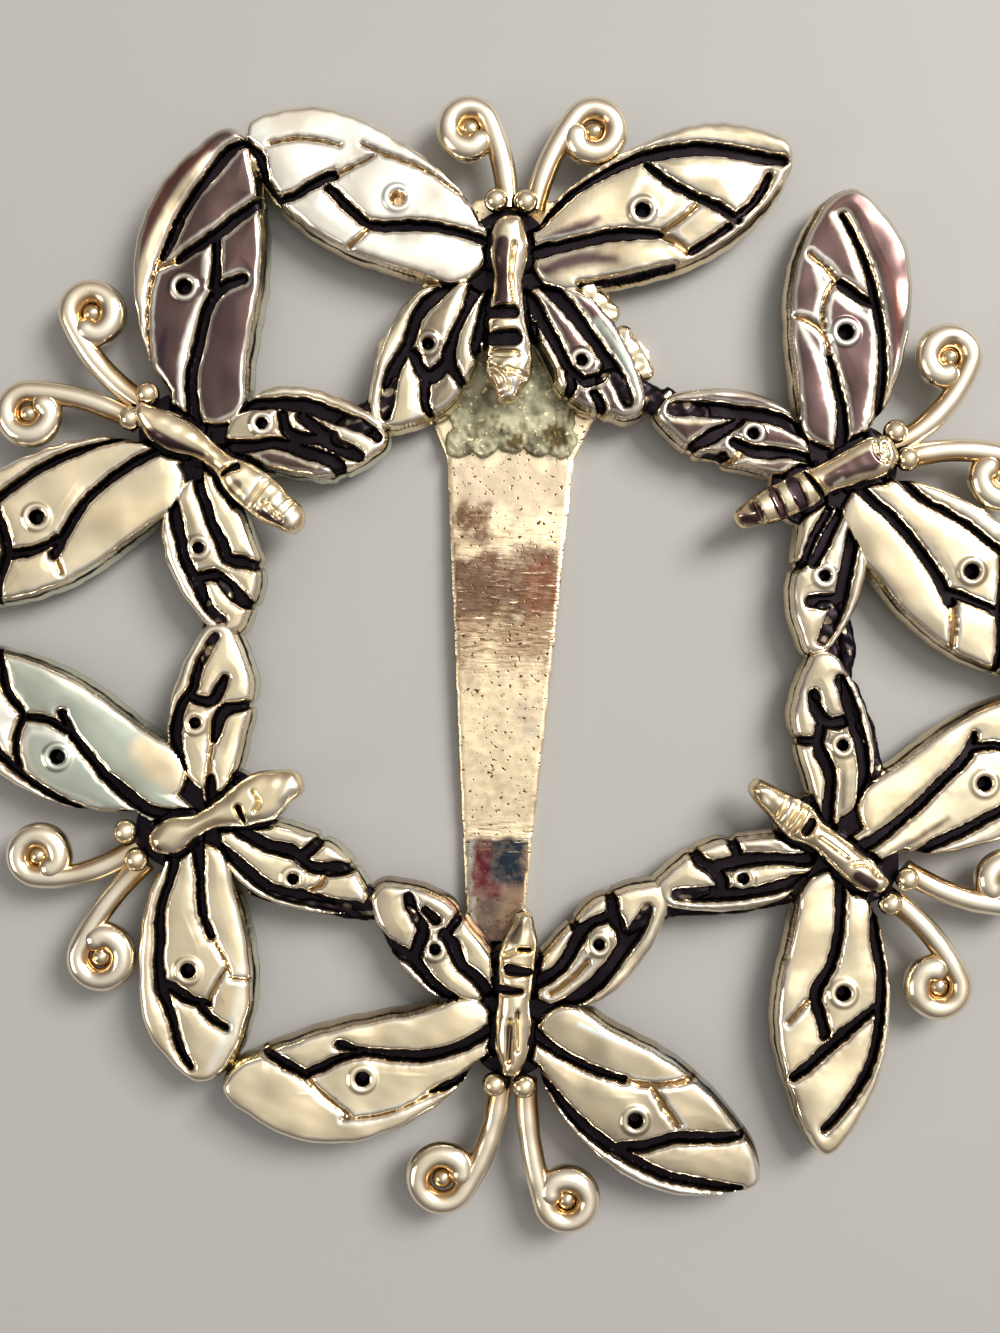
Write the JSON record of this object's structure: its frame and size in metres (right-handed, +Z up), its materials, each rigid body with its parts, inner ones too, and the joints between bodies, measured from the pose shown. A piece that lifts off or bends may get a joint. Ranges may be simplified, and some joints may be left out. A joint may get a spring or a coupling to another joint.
{
  "type": "butterfly wreath brooch",
  "caption": "Brooch cast as a ring of butterflies with curled antennae, on a flat tapered clip blade bonded behind one of them",
  "frame": {"origin": "Under the middle of the brooch's bounding box, on the surface that it lies on", "axes": "+Z is up, out of the decorated face; +Y points to the butterfly that the clip blade is bonded behind; +X points to the right as seen from the front"},
  "size_m": [0.0672, 0.064, 0.0038],
  "materials": {
    "cast_metal": "bright polished plate with blackened recesses",
    "sheet_metal": "worn pale gold plate with scratches, pits and tarnish",
    "bonding": "lumpy grey-green with brown stains"
  },
  "bodies": {
    "root": {"butterfly_wreath": "cast_metal", "clip_blade": "sheet_metal", "bond_layer": "bonding"}
  },
  "joints": []
}
